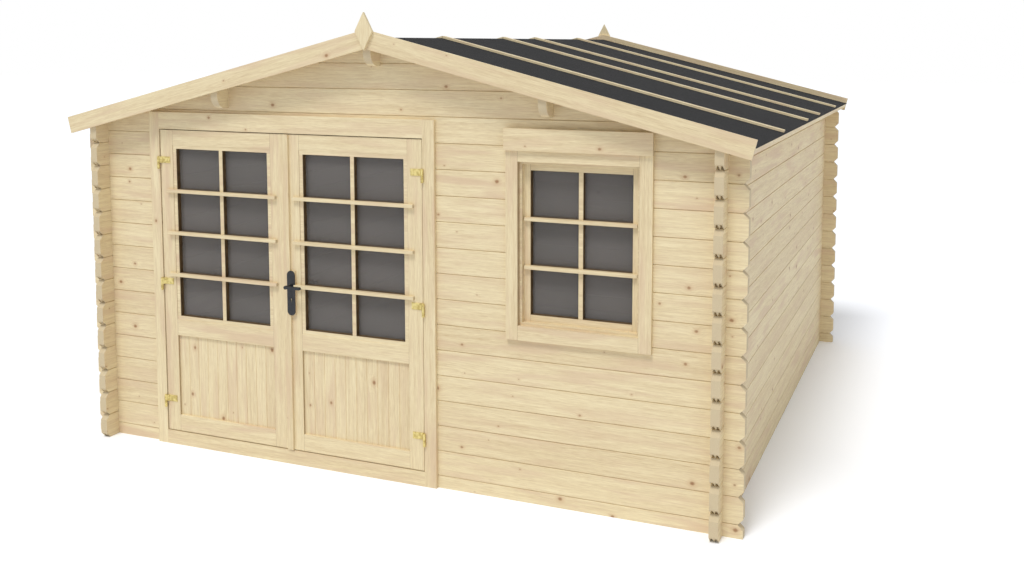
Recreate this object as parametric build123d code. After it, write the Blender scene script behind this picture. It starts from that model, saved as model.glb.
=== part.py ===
from build123d import *
import os
from math import cos, radians, sin, tan

# A garden shed of interlocking boards, with a double door and one fixed window in its front.
# Millimetres. The origin is on the ground, under the middle of the walls. +X is to the right
# of someone who faces the door, -Y is the door side and +Z is up.

# Walls: solid boards on edge, crossing at the corners
wall_span_x = 3645.0        # between the middles of the side walls
wall_span_y = 3645.0        # between the middles of the front and back walls
wall_thickness = 44.0
course = 135.0              # height that one board covers
side_courses = 14           # whole boards in a side wall, up to its inner top edge
stagger = 0.5               # share of a course by which the front and back boards are lower
log_end = 98.0              # what a board stands out past the wall that it crosses
joint_groove_half = 2.5     # half the height of the groove along the joint of two boards
joint_groove_depth = 6.0
notch_depth = 27.0          # chamfer at the end of each board
notch_height = 28.0
tongue_slot_base = 19.0     # the two tongue slots that show at a board's end
tongue_slot_top = 8.0
tongue_slot_height = 22.0
tongue_slot_spacing = 20.0
tongue_slot_length = 42.0
tongue_share = 0.25         # share of a board's height that is notched away, top and bottom

# Roof
roof_pitch = 14.0
eave_overhang = 135.0       # from the side wall's outer face to the edge of the roof boards
roof_board = 19.0
felt_thickness = 2.0
felt_lip = 3.0              # felt past the eave strip
eave_strip_thickness = 16.0
eave_strip_height = 28.0
batten_width = 40.0
batten_thickness = 12.0
batten_end_gap = 12.0       # from the batten's end to the eave
batten_ridge_gap = 1.0
batten_places = (-1059.5, -165.5, 397.0, 1297.0)
gable_clearance = 0.3       # between the board ends and the back of the bargeboards

bargeboard_width = 95.0
bargeboard_thickness = 16.0
bargeboard_rise = 40.0      # over the top of the roof boards
finial_width = 101.0
finial_height = 193.0
finial_thickness = 16.0
finial_drop = 9.0           # from the bargeboards' top point to the middle of the finial

purlin_width = 44.0
purlin_depth = 126.0
side_purlin_clearance = 15.6    # from the side purlins down to the base of the gable
purlin_nose_radius = 70.0   # rounding of the purlin's lower end

# Floor
joist_height = 45.0
joist_width = 45.0
joist_count = 7
floor_board = 19.0
floor_fit = 0.3

# Door frame
door_middle = -571.0        # middle of the door frame, from the middle of the shed
door_width = 1686.0         # between the linings
door_top = 1845.0           # underside of the head lining
casing_thickness = 20.0
casing_width = 68.0
head_casing_height = 97.0
lining_thickness = 30.5
stop_front = 30.0           # from the wall's outer face to the front of the door stops
stop_overlap = 20.0         # how far a stop stands into the opening
head_stop_overlap = 15.0
threshold_top = 79.0
threshold_stop = 15.0

# Door leaves
leaf_proud = 15.0           # from the wall's outer face to the front of a leaf
leaf_thickness = 40.0
leaf_gap = 5.0
meeting_gap = 8.0
meeting_shift = -9.5        # of the leaves' meeting line, from the middle of the door frame
hinge_stile = 85.0
left_meeting_stile = 79.5   # stile at the meeting edge of each leaf
right_meeting_stile = 98.5
bottom_rail = 95.0
panel_height = 473.0
middle_rail = 93.0
upper_field = 1011.0
bead_width = 22.0
bead_set_back = 2.0
pane_thickness = 4.0
pane_depth = 30.0           # from the leaf's front to the front of the glass
pane_rebate = 8.0
panel_thickness = 16.0
panel_depth = 12.0          # from the leaf's front to the front of the panel
panel_rebate = 10.0
panel_boards = 10
panel_groove = 3.0

# Meeting strip, lock plates and lever
strip_width = 36.0
strip_thickness = 14.0
plate_width = 50.0
plate_height = 248.0
plate_thickness = 4.0
plate_from_strip = 44.0     # from the strip's left edge to the middle of the plate
lock_pad_margin = 2.0       # the pad behind the plate stays this far inside the plate's edge
spindle_height = 1013.0
plate_below_spindle = 165.5
keyhole_below_spindle = 75.0
keyhole_radius = 4.5
keyhole_slot_width = 5.0
keyhole_slot_length = 16.0
spindle_radius = 5.0
spindle_hole_radius = 12.0
neck_radius = 8.0
neck_fit = 0.5
lever_length = 93.0         # from the spindle to the tip
lever_height = 15.0
lever_thickness = 14.0
lever_reach = 42.0          # clear space between a plate and its lever
lever_hub_radius = 10.0

# Hinges
hinge_heights = (272.0, 966.0, 1669.0)
pin_radius = 3.0
pin_fit = 0.1
knuckle_radius = 7.5
knuckle_height = 36.0       # upper, moving knuckle and its strap
fixed_knuckle_height = 34.0
fixed_knuckle_taper = 3.0   # chamfer at the foot of the fixed knuckle
knuckle_gap = 1.0
pin_inset = 2.5             # from the lining's edge to the pin, away from the leaf
pin_proud = 28.0            # from the wall's outer face to the pin
strap_thickness = 3.0
strap_length = 65.0
strap_edge = 3.0            # from the leaf's edge to the start of the strap's flat
stem_radius = 4.0           # stem that holds the fixed knuckle to the casing
stem_offset = 2.0
pin_head = 3.0

# Window
window_middle = 1114.5
window_width = 626.0        # inside the casing
window_bottom = 920.0
window_height = 828.0
window_casing_width = 65.0
window_sill_casing = 74.0
window_head_casing = 150.0
window_head_overhang = 4.0  # past the casing on both sides
window_head_height = 110.0
window_head_thickness = 18.0
window_head_rise = 56.0     # from the top of the window to the underside of its head
window_quirk = 13.0         # strip of lining that shows inside the casing
window_lining_front = 6.0   # from the wall's outer face to the front of the lining
sash_front = 38.0           # from the wall's outer face to the front of the sash
sash_thickness = 40.0
sash_rail = 34.0
window_pane_depth = 30.0    # from the sash's front to the front of the glass

# Worked out from the sizes above
pitch = radians(roof_pitch)
outer_x = (wall_span_x + wall_thickness) / 2
outer_y = (wall_span_y + wall_thickness) / 2
inner_x = (wall_span_x - wall_thickness) / 2
inner_y = (wall_span_y - wall_thickness) / 2
end_x = outer_x + log_end
end_y = outer_y + log_end
front_y = -outer_y
wall_top = side_courses * course
ridge_under = wall_top + inner_x * tan(pitch)
gable_base = (side_courses + stagger) * course
slope_length = (outer_x + eave_overhang) / cos(pitch)
roof_end_y = end_y + gable_clearance
floor_top = joist_height + floor_board

side_joints = [course * k for k in range(1, side_courses)]
gable_joints = [course * (k + stagger) for k in range(int(ridge_under / course))]
side_purlin_place = (ridge_under - purlin_depth - gable_base - side_purlin_clearance) / tan(pitch)


def roof_under(x):
    """Height of the roof boards' underside at a distance from the ridge line."""
    return ridge_under - abs(x) * tan(pitch)


def block(x, y, z):
    """A box between three pairs of limits."""
    limits = (x, y, z)
    size = [high - low for low, high in limits]
    middle = [(low + high) / 2 for low, high in limits]
    return Pos(*middle) * Box(*size)


def along_x(outline, x):
    """A straight piece with its outline in y and z, between two x values."""
    face = make_face(Polyline([(x[0], y, z) for y, z in outline], close=True))
    return extrude(face, x[1] - x[0], dir=(1, 0, 0))


def along_y(outline, y):
    """A straight piece with its outline in x and z, between two y values."""
    face = make_face(Polyline([(x, y[0], z) for x, z in outline], close=True))
    return extrude(face, y[1] - y[0], dir=(0, 1, 0))


def along_z(outline, z):
    """A straight piece with its outline in x and y, between two z values."""
    face = make_face(Polyline([(x, y, z[0]) for x, y in outline], close=True))
    return extrude(face, z[1] - z[0], dir=(0, 0, 1))


def on_slope(side, along, above):
    """The x and z of a point given along the roof slope and square to its underside."""
    x = along * cos(pitch) + above * sin(pitch)
    return side * x, ridge_under + above * cos(pitch) - along * sin(pitch)


def on_mitre(above):
    """The x and z where a line parallel to the slope meets the plane of the ridge."""
    return 0.0, ridge_under + above / cos(pitch)


def wall_outline(low, high, joints, low_top, high_top):
    """Section of a wall, with a groove along both faces at each joint of two boards."""
    up = [(low, 0.0)]
    down = [(high, 0.0)]
    for z in joints:
        edges = (z - joint_groove_half, z + joint_groove_half)
        up += [(low, edges[0]), (low + joint_groove_depth, z), (low, edges[1])]
        down += [(high, edges[0]), (high - joint_groove_depth, z), (high, edges[1])]
    up.append((low, low_top))
    down.append((high, high_top))
    return up + down[::-1]


def board_end_notch(end, direction, z):
    """Corners of the notch between the chamfered ends of two boards."""
    depth = end - direction * notch_depth
    past = end + direction
    return [(past, z - notch_height - 1), (end, z - notch_height), (depth, z),
            (end, z + notch_height), (past, z + notch_height + 1)]


def tongue_slots(middle, z):
    """Outlines of the two tapered tongue slots in a board's underside."""
    outlines = []
    for side in (-1, 1):
        c = middle + side * tongue_slot_spacing / 2
        half_base = tongue_slot_base / 2
        half_top = tongue_slot_top / 2
        top = z + tongue_slot_height
        outlines.append([(c - half_base, z), (c + half_base, z), (c + half_top, top), (c - half_top, top)])
    return outlines


def side_wall(side):
    """A wall that runs from front to back, notched for the boards that cross it."""
    middle = side * wall_span_x / 2
    low, high = middle - wall_thickness / 2, middle + wall_thickness / 2
    outline = wall_outline(low, high, side_joints, roof_under(low), roof_under(high))
    wall = along_y(outline, (-end_y, end_y))
    cuts = []
    for end in (-1, 1):
        crossing = sorted((end * inner_y, end * outer_y))
        for k in range(side_courses + 1):
            z = (max(0.0, (k - tongue_share) * course), (k + tongue_share) * course)
            cuts.append(block((low, high), crossing, z))
        for z in [0.0] + side_joints:
            cuts.append(along_x(board_end_notch(end * end_y, end, z), (low, high)))
            span = sorted((end * end_y, end * (end_y - tongue_slot_length)))
            cuts += [along_y(slot, span) for slot in tongue_slots(middle, z)]
    return wall - cuts


def gable_wall(side):
    """A wall that runs across the shed with its gable, notched for the side walls."""
    middle = side * wall_span_y / 2
    low, high = middle - wall_thickness / 2, middle + wall_thickness / 2
    outline = wall_outline(low, high, gable_joints, ridge_under, ridge_under)
    wall = along_x(outline, (-end_x, end_x))
    under_roof = [(-end_x, 0), (end_x, 0), (end_x, roof_under(end_x)),
                  (0, ridge_under), (-end_x, roof_under(end_x))]
    wall = wall & along_y(under_roof, (low, high))
    cuts = []
    end_joints = [z for z in gable_joints if z < roof_under(end_x)]
    for end in (-1, 1):
        crossing = sorted((end * inner_x, end * outer_x))
        for k in range(side_courses):
            z = ((k + tongue_share) * course, (k + 1 - tongue_share) * course)
            cuts.append(block(crossing, (low, high), z))
        for z in end_joints:
            cuts.append(along_y(board_end_notch(end * end_x, end, z), (low, high)))
            span = sorted((end * end_x, end * (end_x - tongue_slot_length)))
            cuts += [along_x(slot, span) for slot in tongue_slots(middle, z)]
    for x in (-side_purlin_place, 0.0, side_purlin_place):
        cuts.append(along_y(purlin_outline(x), (low, high)))
    return wall - cuts


def purlin_outline(x):
    """Section of a purlin whose top follows the roof boards."""
    low, high = x - purlin_width / 2, x + purlin_width / 2
    bottom = roof_under(x) - purlin_depth
    top = [(high, roof_under(high))]
    if low < 0 < high:
        top.append((0.0, ridge_under))
    top.append((low, roof_under(low)))
    return [(low, bottom), (high, bottom)] + top


def purlin(x):
    """A purlin through both gables, rounded at its lower ends."""
    beam = along_y(purlin_outline(x), (-roof_end_y, roof_end_y))
    bottom = roof_under(x) - purlin_depth
    noses = [edge for edge in beam.edges().filter_by(Axis.X)
             if abs(edge.center().Z - bottom) < 1.0]
    return fillet(noses, purlin_nose_radius)


# Openings in the front wall, as limits in x and z
door_x = (door_middle - door_width / 2, door_middle + door_width / 2)
door_hole_x = (door_x[0] - lining_thickness, door_x[1] + lining_thickness)
door_hole_top = door_top + lining_thickness
window_x = (window_middle - window_width / 2, window_middle + window_width / 2)
window_z = (window_bottom, window_bottom + window_height)
window_hole_x = (window_x[0] - lining_thickness, window_x[1] + lining_thickness)
window_hole_z = (window_z[0] - lining_thickness, window_z[1] + lining_thickness)


def front_wall_pieces():
    """The front wall split beside and over its openings, and its gable."""
    wall = gable_wall(-1)
    y = (-outer_y, -inner_y)
    fields = {
        "front_wall_left": ((-end_x, door_hole_x[0]), (0, gable_base)),
        "front_wall_middle": ((door_hole_x[1], window_hole_x[0]), (0, gable_base)),
        "front_wall_right": ((window_hole_x[1], end_x), (0, gable_base)),
        "front_wall_over_door": (door_hole_x, (door_hole_top, gable_base)),
        "front_wall_over_window": (window_hole_x, (window_hole_z[1], gable_base)),
        "front_wall_under_window": (window_hole_x, (0, window_hole_z[0])),
        "front_gable": ((-end_x, end_x), (gable_base, ridge_under)),
    }
    return {name: wall & block(x, y, z) for name, (x, z) in fields.items()}


def roof_slab(side, bottom, top, length, y, ridge_gap=0.0):
    """A straight layer of the roof on one side, mitred at the ridge."""
    outline = [on_mitre(bottom), on_slope(side, length, bottom), on_slope(side, length, top), on_mitre(top)]
    slab = along_y(outline, y)
    if ridge_gap:
        high = ridge_under + top / cos(pitch) + 1
        slab = slab - block((-ridge_gap, ridge_gap), y, (high - 4 * top, high))
    return slab


def roof_boards(side):
    """The boarding of one slope, up to the back of the eave strip."""
    return roof_slab(side, 0.0, roof_board, slope_length - eave_strip_thickness, (-roof_end_y, roof_end_y))


def roof_felt():
    """Felt over both slopes, a little past the eave strips."""
    low, high = roof_board, roof_board + felt_thickness
    length = slope_length + felt_lip
    outline = [on_mitre(low), on_slope(1, length, low), on_slope(1, length, high), on_mitre(high),
               on_slope(-1, length, high), on_slope(-1, length, low)]
    return along_y(outline, (-roof_end_y, roof_end_y))


def eave_strip(side):
    """The strip along the ends of the roof boards."""
    back = slope_length - eave_strip_thickness
    bottom = roof_board - eave_strip_height
    outline = [on_slope(side, back, bottom), on_slope(side, slope_length, bottom),
               on_slope(side, slope_length, roof_board), on_slope(side, back, roof_board)]
    return along_y(outline, (-roof_end_y, roof_end_y))


def battens():
    """Battens that hold the felt down, from the ridge to the eave on both slopes."""
    low = roof_board + felt_thickness
    pieces = []
    for side in (-1, 1):
        for place in batten_places:
            y = (place - batten_width / 2, place + batten_width / 2)
            length = slope_length - batten_end_gap
            pieces.append(roof_slab(side, low, low + batten_thickness, length, y, batten_ridge_gap))
    return pieces


def bargeboard(side, end):
    """One of the four boards that close the roof's ends."""
    top = roof_board + bargeboard_rise
    y = sorted((end * roof_end_y, end * (roof_end_y + bargeboard_thickness)))
    return roof_slab(side, top - bargeboard_width, top, slope_length, y)


def finial(end):
    """The flat diamond where two bargeboards meet."""
    middle = ridge_under + (roof_board + bargeboard_rise) / cos(pitch) - finial_drop
    outline = [(finial_width / 2, middle), (0, middle + finial_height / 2),
               (-finial_width / 2, middle), (0, middle - finial_height / 2)]
    back = roof_end_y + bargeboard_thickness
    return along_y(outline, sorted((end * back, end * (back + finial_thickness))))


def joists():
    """Floor joists on the ground, between the front and back walls."""
    first = inner_x - joist_width
    step = 2 * first / (joist_count - 1)
    y = (-inner_y + floor_fit, inner_y - floor_fit)
    pieces = []
    for k in range(joist_count):
        x = -first + k * step
        pieces.append(block((x - joist_width / 2, x + joist_width / 2), y, (0, joist_height)))
    return pieces


def floor_boards():
    """The boarded floor, inside the walls."""
    x = (-inner_x + floor_fit, inner_x - floor_fit)
    y = (-inner_y + floor_fit, inner_y - floor_fit)
    return block(x, y, (joist_height, floor_top))


def door_jamb(side):
    """A side of the door frame: casing, lining and stop in one section round the wall's end."""
    edge = door_x[0] if side < 0 else door_x[1]
    hole = edge + side * lining_thickness
    outside = edge + side * casing_width
    stop = edge - side * stop_overlap
    front, back = front_y - casing_thickness, -inner_y + casing_thickness
    stop_y = front_y + stop_front
    outline = [(outside, front), (edge, front), (edge, stop_y), (stop, stop_y), (stop, back),
               (outside, back), (outside, -inner_y), (hole, -inner_y), (hole, front_y), (outside, front_y)]
    top = door_top + head_casing_height
    jamb = along_z(outline, (0, top))
    over_hole = block(sorted((edge, hole)), (front_y, -inner_y), (door_hole_top, top))
    inside_foot = block(sorted((stop, outside)), (-inner_y, back), (0, floor_top))
    stop_span = sorted((stop, edge))
    stop_foot = block(stop_span, (stop_y, back), (0, threshold_top + threshold_stop))
    stop_head = block(stop_span, (stop_y, back), (door_top - head_stop_overlap, top))
    return jamb - [over_hole, inside_foot, stop_foot, stop_head]


def door_head():
    """The top of the door frame, between the two jambs."""
    front, back = front_y - casing_thickness, -inner_y + casing_thickness
    stop_y = front_y + stop_front
    stop_z = door_top - head_stop_overlap
    top = door_top + head_casing_height
    outline = [(front, door_top), (stop_y, door_top), (stop_y, stop_z), (back, stop_z), (back, top),
               (-inner_y, top), (-inner_y, door_hole_top), (front_y, door_hole_top), (front_y, top),
               (front, top)]
    return along_x(outline, door_x)


def door_threshold():
    """The threshold between the jambs, with a raised stop at its back."""
    front = front_y - casing_thickness
    stop_y = front_y + stop_front
    stop_z = threshold_top + threshold_stop
    outline = [(front, 0), (-inner_y, 0), (-inner_y, stop_z), (stop_y, stop_z), (stop_y, threshold_top),
               (front, threshold_top)]
    return along_x(outline, door_x)


# Door leaves, as limits in x and z
meeting_x = door_middle + meeting_shift
leaf_x = {
    -1: (door_x[0] + leaf_gap, meeting_x - meeting_gap / 2),
    1: (meeting_x + meeting_gap / 2, door_x[1] - leaf_gap),
}
leaf_z = (threshold_top + leaf_gap, door_top - leaf_gap)
leaf_y = (front_y - leaf_proud, front_y - leaf_proud + leaf_thickness)
panel_z = (leaf_z[0] + bottom_rail, leaf_z[0] + bottom_rail + panel_height)
upper_z = (panel_z[1] + middle_rail, panel_z[1] + middle_rail + upper_field)


def field_x(side):
    """Left and right of the openings in a leaf."""
    left, right = leaf_x[side]
    if side < 0:
        return left + hinge_stile, right - left_meeting_stile
    return left + right_meeting_stile, right - hinge_stile


def grown(span, amount):
    """A pair of limits moved apart by the same amount at both ends."""
    return span[0] - amount, span[1] + amount


def leaf_pane(side):
    """The glass of a leaf, held in its rebate."""
    opening = pane_rebate - bead_width
    y = (leaf_y[0] + pane_depth, leaf_y[0] + pane_depth + pane_thickness)
    return block(grown(field_x(side), opening), y, grown(upper_z, opening))


def leaf_panel(side):
    """The boarded lower panel of a leaf, held in its groove."""
    x, z = grown(field_x(side), panel_rebate), grown(panel_z, panel_rebate)
    y = (leaf_y[0] + panel_depth, leaf_y[0] + panel_depth + panel_thickness)
    left, right = field_x(side)
    cover = (right - left) / panel_boards
    front, back = [(x[0], y[0])], [(x[0], y[1])]
    for k in range(1, panel_boards):
        joint = left + k * cover
        front += [(joint - panel_groove, y[0]), (joint, y[0] + panel_groove), (joint + panel_groove, y[0])]
        back += [(joint - panel_groove, y[1]), (joint, y[1] - panel_groove), (joint + panel_groove, y[1])]
    front.append((x[1], y[0]))
    back.append((x[1], y[1]))
    return along_z(front + back[::-1], z)


def leaf_frame(side):
    """Stiles and rails of a leaf, with the glazing beads round its upper opening."""
    x = field_x(side)
    leaf = block(leaf_x[side], leaf_y, leaf_z)
    lower = block(x, leaf_y, panel_z)
    upper = block(grown(x, -bead_width), leaf_y, grown(upper_z, -bead_width))
    bead = block(x, (leaf_y[0], leaf_y[0] + bead_set_back), upper_z)
    pane, panel = leaf_pane(side), leaf_panel(side)
    groove = block(grown(x, panel_rebate), (panel.bounding_box().min.Y, panel.bounding_box().max.Y),
                   grown(panel_z, panel_rebate))
    cuts = [lower, upper, bead, pane, groove]
    if side > 0:
        cuts.append(through_y(plate_x, spindle_height, spindle_hole_radius, leaf_y))
    return leaf - cuts


def through_y(x, z, radius, y):
    """A round bar or hole along y."""
    middle = Pos(x, (y[0] + y[1]) / 2, z)
    return middle * Rot(90, 0, 0) * Cylinder(radius, y[1] - y[0])


# Lock side of the right-hand leaf
strip_x = (leaf_x[1][0], leaf_x[1][0] + strip_width)
strip_y = (leaf_y[0] - strip_thickness, leaf_y[0])
plate_x = strip_x[0] + plate_from_strip
plate_z = (spindle_height - plate_below_spindle, spindle_height - plate_below_spindle + plate_height)
keyhole_z = spindle_height - keyhole_below_spindle


def rounded_bar(x, z, width, height, y):
    """A flat bar with round ends, standing up, between two y values."""
    radius = width / 2
    body = block((x - radius, x + radius), y, (z[0] + radius, z[1] - radius))
    ends = [through_y(x, z[0] + radius, radius, y), through_y(x, z[1] - radius, radius, y)]
    return body + ends


def meeting_strip():
    """The strip down the meeting edge, widened into a pad behind the lock plate."""
    strip = block(strip_x, strip_y, leaf_z)
    pad_right = plate_x + plate_width / 2 - lock_pad_margin
    pad = block((strip_x[0], pad_right), strip_y, grown(plate_z, -lock_pad_margin))
    hole = through_y(plate_x, spindle_height, spindle_hole_radius, strip_y)
    return strip + pad - hole


def lock_plate(y):
    """A long plate with round ends, a spindle hole and a keyhole."""
    plate = rounded_bar(plate_x, plate_z, plate_width, plate_height, y)
    spindle = through_y(plate_x, spindle_height, neck_radius + neck_fit, y)
    key = through_y(plate_x, keyhole_z, keyhole_radius, y)
    half = keyhole_slot_width / 2
    slot = block((plate_x - half, plate_x + half), y, (keyhole_z - keyhole_slot_length, keyhole_z))
    return plate - [spindle, key, slot]


def lock_plates():
    """The plates on both faces of the leaf."""
    outer = lock_plate((strip_y[0] - plate_thickness, strip_y[0]))
    inner = lock_plate((leaf_y[1], leaf_y[1] + plate_thickness))
    return [outer, inner]


def lever():
    """Both levers on one spindle through the leaf."""
    outer_face = strip_y[0] - plate_thickness
    inner_face = leaf_y[1] + plate_thickness
    outer_arm = (outer_face - lever_reach - lever_thickness, outer_face - lever_reach)
    inner_arm = (inner_face + lever_reach, inner_face + lever_reach + lever_thickness)
    bar = through_y(plate_x, spindle_height, spindle_radius, (outer_arm[1], inner_arm[0]))
    for arm, neck in ((outer_arm, (outer_arm[1], strip_y[0])), (inner_arm, (leaf_y[1], inner_arm[0]))):
        bar += through_y(plate_x, spindle_height, neck_radius, neck)
        bar += lever_arm(arm)
    return bar


def lever_arm(y):
    """One lever: a hub over the spindle and a rounded arm to the right."""
    half = lever_height / 2
    hub = through_y(plate_x, spindle_height, lever_hub_radius, y)
    tip_x = plate_x + lever_length - half
    arm = block((plate_x, tip_x), y, (spindle_height - half, spindle_height + half))
    return hub + [arm, through_y(tip_x, spindle_height, half, y)]


def hinge_axis(side):
    """The x and y of the pins on one side of the door."""
    edge = door_x[0] if side < 0 else door_x[1]
    return edge + side * pin_inset, front_y - pin_proud


def upright(x, y, radius, z):
    """A round bar or hole along z."""
    return Pos(x, y, (z[0] + z[1]) / 2) * Cylinder(radius, z[1] - z[0])


def hinge_straps(side):
    """The moving half of each hinge: a knuckle with a strap bent onto the leaf."""
    pin_x, pin_y = hinge_axis(side)
    edge = leaf_x[side][0] if side < 0 else leaf_x[side][1]
    inward = -side
    flat = edge + inward * strap_edge
    rise = flat + inward * 2 * strap_edge
    end = edge + inward * strap_length
    face, top = leaf_y[0], leaf_y[0] - strap_thickness
    near = pin_y + knuckle_radius
    outline = [(pin_x, pin_y - knuckle_radius), (pin_x + inward * strap_edge, pin_y - knuckle_radius),
               (rise, top), (end, top), (end, face), (edge, face),
               (edge - inward * strap_edge / 2, near), (pin_x, near)]
    pieces = []
    for height in hinge_heights:
        z = (height - knuckle_height / 2, height + knuckle_height / 2)
        strap = along_z(outline, z) + upright(pin_x, pin_y, knuckle_radius, z)
        pieces.append(strap - upright(pin_x, pin_y, pin_radius + pin_fit, z))
    return pieces


def hinge_pins():
    """The fixed half of each hinge: a stem on the casing, a tapered knuckle and the pin."""
    pieces = []
    for side in (-1, 1):
        pin_x, pin_y = hinge_axis(side)
        for height in hinge_heights:
            top = height - knuckle_height / 2 - knuckle_gap
            z = (top - fixed_knuckle_height, top)
            knuckle = upright(pin_x, pin_y, knuckle_radius, z)
            knuckle = chamfer(knuckle.edges().group_by(Axis.Z)[0], fixed_knuckle_taper)
            stem_y = (pin_y, front_y - casing_thickness)
            stem = through_y(pin_x + side * stem_offset, sum(z) / 2, stem_radius, stem_y)
            pin = upright(pin_x, pin_y, pin_radius, (z[0], height + knuckle_height / 2 + pin_head))
            pieces.append(knuckle + stem + pin)
    return pieces


def ring(x, z, inner_x_span, inner_z_span, y):
    """A rectangular frame between two y values."""
    return block(x, y, z) - block(inner_x_span, y, inner_z_span)


def window_casing():
    """Casings on both faces of the wall and the lining between them."""
    outer = grown(window_x, window_casing_width)
    outer_z = (window_z[0] - window_sill_casing, window_z[1] + window_head_casing)
    front = ring(outer, outer_z, window_x, window_z, (front_y - casing_thickness, front_y))
    back = ring(outer, outer_z, window_x, window_z, (-inner_y, -inner_y + casing_thickness))
    lining = ring(window_hole_x, window_hole_z, window_x, window_z, (front_y, -inner_y))
    quirk_y = (front_y + window_lining_front, front_y + sash_front + sash_thickness)
    quirk = ring(window_x, window_z, *sash_hole(), quirk_y)
    return front + [back, lining, quirk]


def sash_hole():
    """Limits in x and z of the hole that the sash stands in."""
    return grown(window_x, -window_quirk), grown(window_z, -window_quirk)


def window_pane():
    """The glass of the window, held in its rebate."""
    x, z = sash_hole()
    opening = pane_rebate - sash_rail
    front = front_y + sash_front + window_pane_depth
    return block(grown(x, opening), (front, front + pane_thickness), grown(z, opening))


def window_sash():
    """The fixed sash round the glass."""
    x, z = sash_hole()
    y = (front_y + sash_front, front_y + sash_front + sash_thickness)
    return ring(x, z, grown(x, -sash_rail), grown(z, -sash_rail), y) - window_pane()


def window_head():
    """The board over the window."""
    x = grown(window_x, window_casing_width + window_head_overhang)
    front = front_y - casing_thickness
    bottom = window_z[1] + window_head_rise
    return block(x, (front - window_head_thickness, front), (bottom, bottom + window_head_height))


nodes = {"left_wall": side_wall(-1), "right_wall": side_wall(1), "back_wall": gable_wall(1)}
nodes.update(front_wall_pieces())
nodes.update({
    "roof_boards_left": roof_boards(-1),
    "roof_boards_right": roof_boards(1),
    "roof_felt": roof_felt(),
    "roof_battens": battens(),
    "eave_strips": [eave_strip(-1), eave_strip(1)],
    "bargeboard_front_left": bargeboard(-1, -1),
    "bargeboard_front_right": bargeboard(1, -1),
    "bargeboard_back_left": bargeboard(-1, 1),
    "bargeboard_back_right": bargeboard(1, 1),
    "finial_front": finial(-1),
    "finial_back": finial(1),
    "ridge_purlin": purlin(0.0),
    "side_purlins": [purlin(-side_purlin_place), purlin(side_purlin_place)],
    "floor_joists": joists(),
    "floor_boards": floor_boards(),
    "door_jamb_left": door_jamb(-1),
    "door_jamb_right": door_jamb(1),
    "door_head": door_head(),
    "door_threshold": door_threshold(),
    "left_door_frame": leaf_frame(-1),
    "left_door_panel": leaf_panel(-1),
    "left_door_glass": leaf_pane(-1),
    "right_door_frame": leaf_frame(1),
    "right_door_panel": leaf_panel(1),
    "right_door_glass": leaf_pane(1),
    "door_meeting_strip": meeting_strip(),
    "door_handle_plates": lock_plates(),
    "door_lever": lever(),
    "left_hinge_straps": hinge_straps(-1),
    "right_hinge_straps": hinge_straps(1),
    "door_hinge_pins": hinge_pins(),
    "window_head": window_head(),
    "window_casing": window_casing(),
    "window_sash": window_sash(),
    "window_glass": window_pane(),
})

os.makedirs("parts", exist_ok=True)
for name, shape in nodes.items():
    if isinstance(shape, list):
        shape = Compound(children=shape)
    export_step(shape, f"parts/{name}.step")
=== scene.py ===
import logging
import math
from collections.abc import Sequence
from dataclasses import dataclass, field
from enum import Enum

import bpy
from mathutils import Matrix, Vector


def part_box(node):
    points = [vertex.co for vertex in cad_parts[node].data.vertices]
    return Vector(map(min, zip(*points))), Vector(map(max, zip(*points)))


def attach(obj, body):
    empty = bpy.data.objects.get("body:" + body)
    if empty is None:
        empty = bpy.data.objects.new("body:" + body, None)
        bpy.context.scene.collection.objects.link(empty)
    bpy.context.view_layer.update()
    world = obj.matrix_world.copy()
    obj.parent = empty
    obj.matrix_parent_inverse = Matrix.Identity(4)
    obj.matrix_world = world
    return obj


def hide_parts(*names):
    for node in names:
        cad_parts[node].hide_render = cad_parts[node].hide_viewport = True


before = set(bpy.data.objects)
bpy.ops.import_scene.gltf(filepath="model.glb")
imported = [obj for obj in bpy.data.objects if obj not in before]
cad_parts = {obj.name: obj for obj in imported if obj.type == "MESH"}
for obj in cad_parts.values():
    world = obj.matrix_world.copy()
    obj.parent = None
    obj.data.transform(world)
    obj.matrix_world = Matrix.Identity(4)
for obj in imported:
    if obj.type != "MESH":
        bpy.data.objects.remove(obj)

LOG = logging.getLogger("garden_shed")

MM = 0.001
ROOF_PITCH = math.radians(14.0)
BOARD_COVER = 0.135
EASED_ANGLE = math.radians(40.0)
LEFT_RAIL_ENDS = (-1.324, -0.664)
RIGHT_RAIL_ENDS = (-0.478, 0.182)

Point = tuple[float, float, float]
Span = tuple[float, float]
Socket = bpy.types.NodeSocket


def srgb(red: int, green: int, blue: int) -> tuple[float, float, float, float]:
    """Turns an eight-bit screen colour into the linear colour that a shader takes.

    Args:
        red: Red, 0 to 255.
        green: Green, 0 to 255.
        blue: Blue, 0 to 255.

    Returns:
        The linear colour, with an alpha of 1.
    """
    def linear(value: int) -> float:
        """Turns one channel linear."""
        part = value / 255
        return part / 12.92 if part <= 0.04045 else ((part + 0.055) / 1.055) ** 2.4

    return linear(red), linear(green), linear(blue), 1.0


class Grain(Enum):
    """Which way the fibres of a piece run."""

    ALONG_X = "x"
    ALONG_Y = "y"
    UPRIGHT = "z"
    DECK = "along x, in boards side by side along y"
    JOINERY = "stiles upright, rails level"


class Side(Enum):
    """Left or right of someone who faces the doors, with the sign of its x."""

    LEFT = -1
    RIGHT = 1

    @property
    def label(self) -> str:
        """Returns the side as the names of nodes and pieces spell it."""
        return self.name.lower()


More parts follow.
